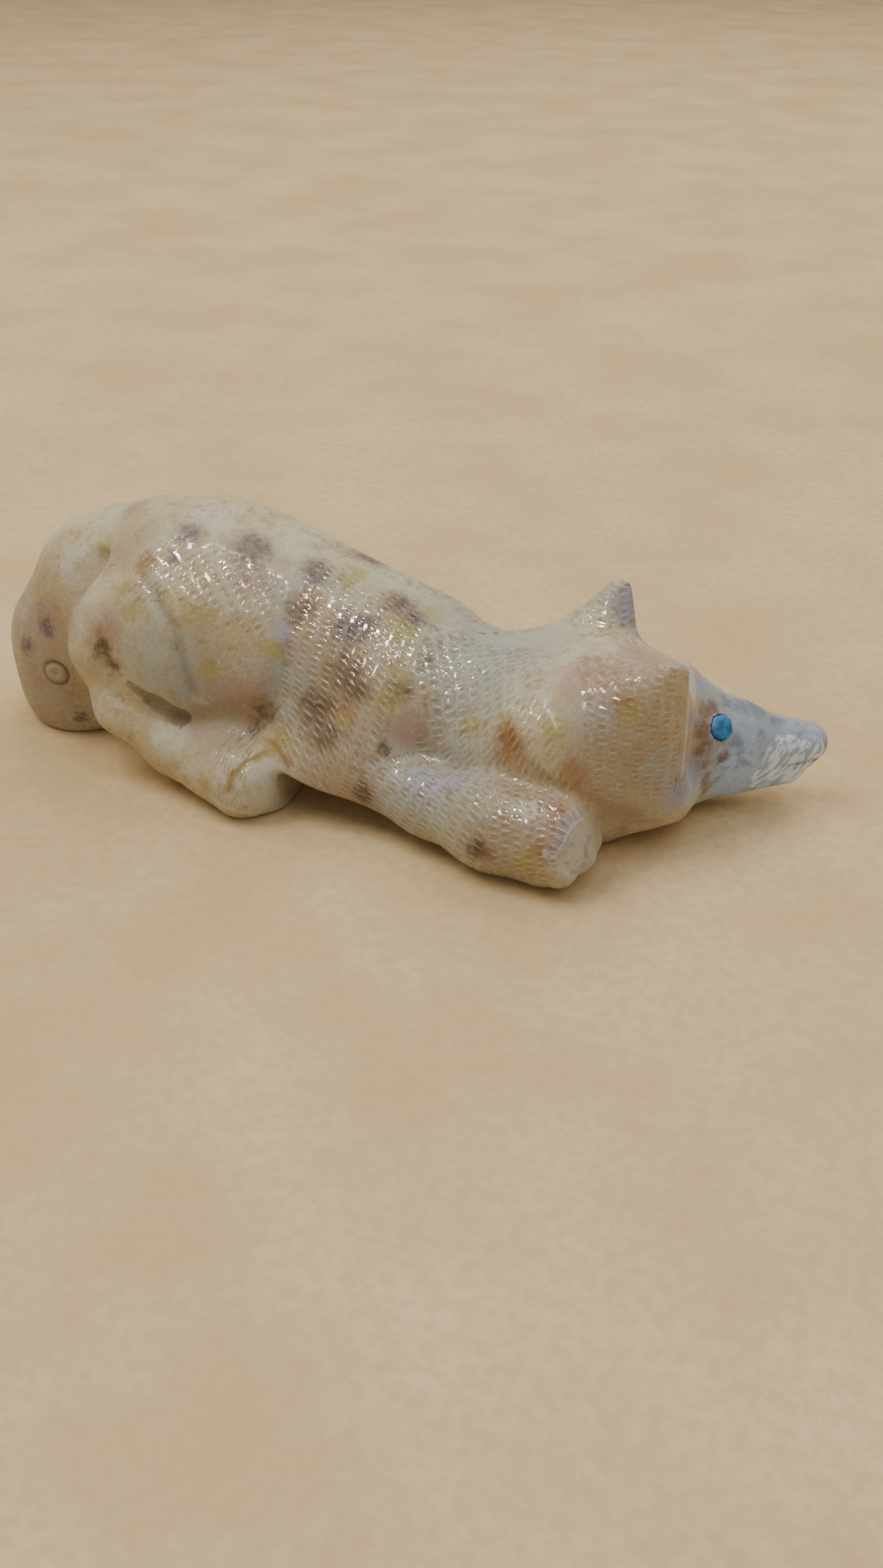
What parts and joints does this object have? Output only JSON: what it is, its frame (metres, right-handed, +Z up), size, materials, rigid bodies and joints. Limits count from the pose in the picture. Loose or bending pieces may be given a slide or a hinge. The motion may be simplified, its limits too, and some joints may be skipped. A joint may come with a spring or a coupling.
{
  "type": "carved stone fox figure",
  "caption": "Small crouching fox carved from banded cream stone, with fine carved fur, its head turned aside and turquoise inlaid eyes.",
  "frame": {"origin": "centre of the figure's outline at the ground it rests on", "axes": "+X from the tail towards the nose, +Y to the fox's left, +Z up"},
  "size_m": [0.0778, 0.0352, 0.0232],
  "materials": {
    "banded_stone": "polished",
    "turquoise": "satin"
  },
  "bodies": {
    "root": {"fox_body": "banded_stone", "right_eye": "turquoise", "left_eye": "turquoise"}
  },
  "joints": []
}
